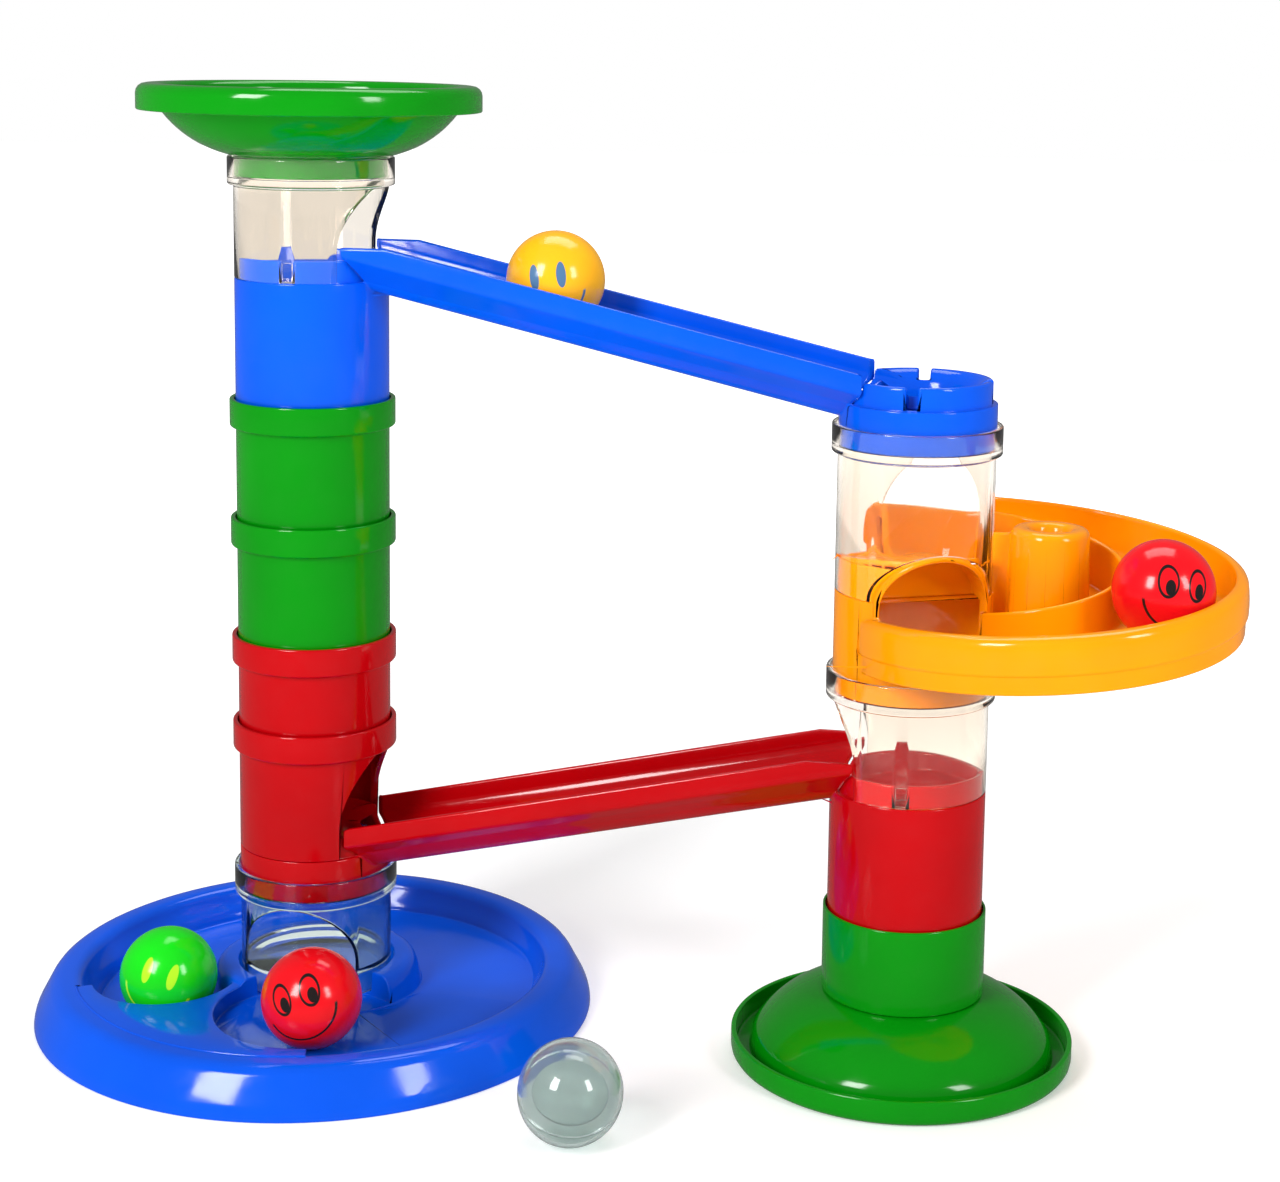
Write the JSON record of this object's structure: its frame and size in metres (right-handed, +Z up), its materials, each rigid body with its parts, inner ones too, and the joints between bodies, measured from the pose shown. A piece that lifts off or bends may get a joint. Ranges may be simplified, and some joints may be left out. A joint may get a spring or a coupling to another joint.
{
  "type": "marble run",
  "caption": "Toddler marble run of plug-together tube towers joined by sloping ramps, with a drop funnel, a spiral side track, a round catch tray and loose balls.",
  "frame": {"origin": "centre of the whole run's outline, on the surface that it stands on", "axes": "+X from the tray's tower towards the spiral's tower, +Y to the back, +Z up"},
  "size_m": [0.5592, 0.298, 0.4408],
  "materials": {
    "gloss_green": "glossy moulding",
    "gloss_red": "glossy moulding",
    "gloss_blue": "glossy moulding",
    "gloss_yellow": "glossy moulding",
    "clear_plastic": "clear polished moulding",
    "ball_yellow_plastic": "glossy moulding",
    "ball_red_plastic": "glossy moulding",
    "ball_green_plastic": "glossy moulding",
    "ball_clear_plastic": "clear polished moulding"
  },
  "bodies": {
    "run": {"base_tray": "gloss_blue", "tray_exit_tube": "clear_plastic", "red_arch_tube": "gloss_red", "red_short_tube": "gloss_red", "green_tube_lower": "gloss_green", "green_tube_upper": "gloss_green", "clear_tube_left": "clear_plastic", "blue_ramp_upper_tube": "gloss_blue", "blue_ramp_chute": "gloss_blue", "blue_ramp_lower_socket": "gloss_blue", "red_ramp_upper_tube": "gloss_red", "red_ramp_chute": "gloss_red", "red_ramp_lower_socket": "gloss_red", "base_funnel": "gloss_green", "base_sleeve": "gloss_green", "clear_tube_right_lower": "clear_plastic", "spiral_tower": "gloss_yellow", "spiral_track": "gloss_yellow", "clear_tube_right_upper": "clear_plastic"},
    "funnel": {"funnel": "gloss_green"},
    "yellow_ball": {"ball_yellow": "ball_yellow_plastic"},
    "spiral_ball": {"ball_red_spiral": "ball_red_plastic"},
    "tray_ball": {"ball_red_tray": "ball_red_plastic"},
    "well_ball": {"ball_green": "ball_green_plastic"},
    "clear_ball": {"ball_clear_back": "ball_clear_plastic", "ball_clear_front": "ball_clear_plastic", "ball_clear_disc": "ball_clear_plastic"}
  },
  "joints": [
    {"name": "funnel_lift", "type": "slide", "parent": "run", "child": "funnel", "axis": [0, 0, 1], "range_m": [0, 0.03]},
    {"name": "yellow_ball_roll", "type": "slide", "parent": "run", "child": "yellow_ball", "axis": [0.9634, -0.156, -0.2181], "range_m": [-0.05, 0.1]},
    {"name": "spiral_ball_roll", "type": "hinge", "parent": "run", "child": "spiral_ball", "pos_m": [0.19167, -0.0329, 0.22989], "axis": [0.107, 0.0898, -0.9902], "range_deg": [-30, 50]},
    {"name": "tray_ball_roll", "type": "hinge", "parent": "run", "child": "tray_ball", "pos_m": [-0.14761, 0.01703, 0.03435], "axis": [0.0161, 0.0181, 0.9997], "range_deg": [0, 80]},
    {"name": "well_ball_roll", "type": "hinge", "parent": "run", "child": "well_ball", "pos_m": [-0.14761, 0.01703, 0.02729], "axis": [-0.0002, -0.0264, 0.9997], "range_deg": [-60, 0]},
    {"name": "clear_ball_roll", "type": "slide", "parent": "run", "child": "clear_ball", "axis": [0.9659, -0.2588, 0], "range_m": [0, 0.12]}
  ]
}
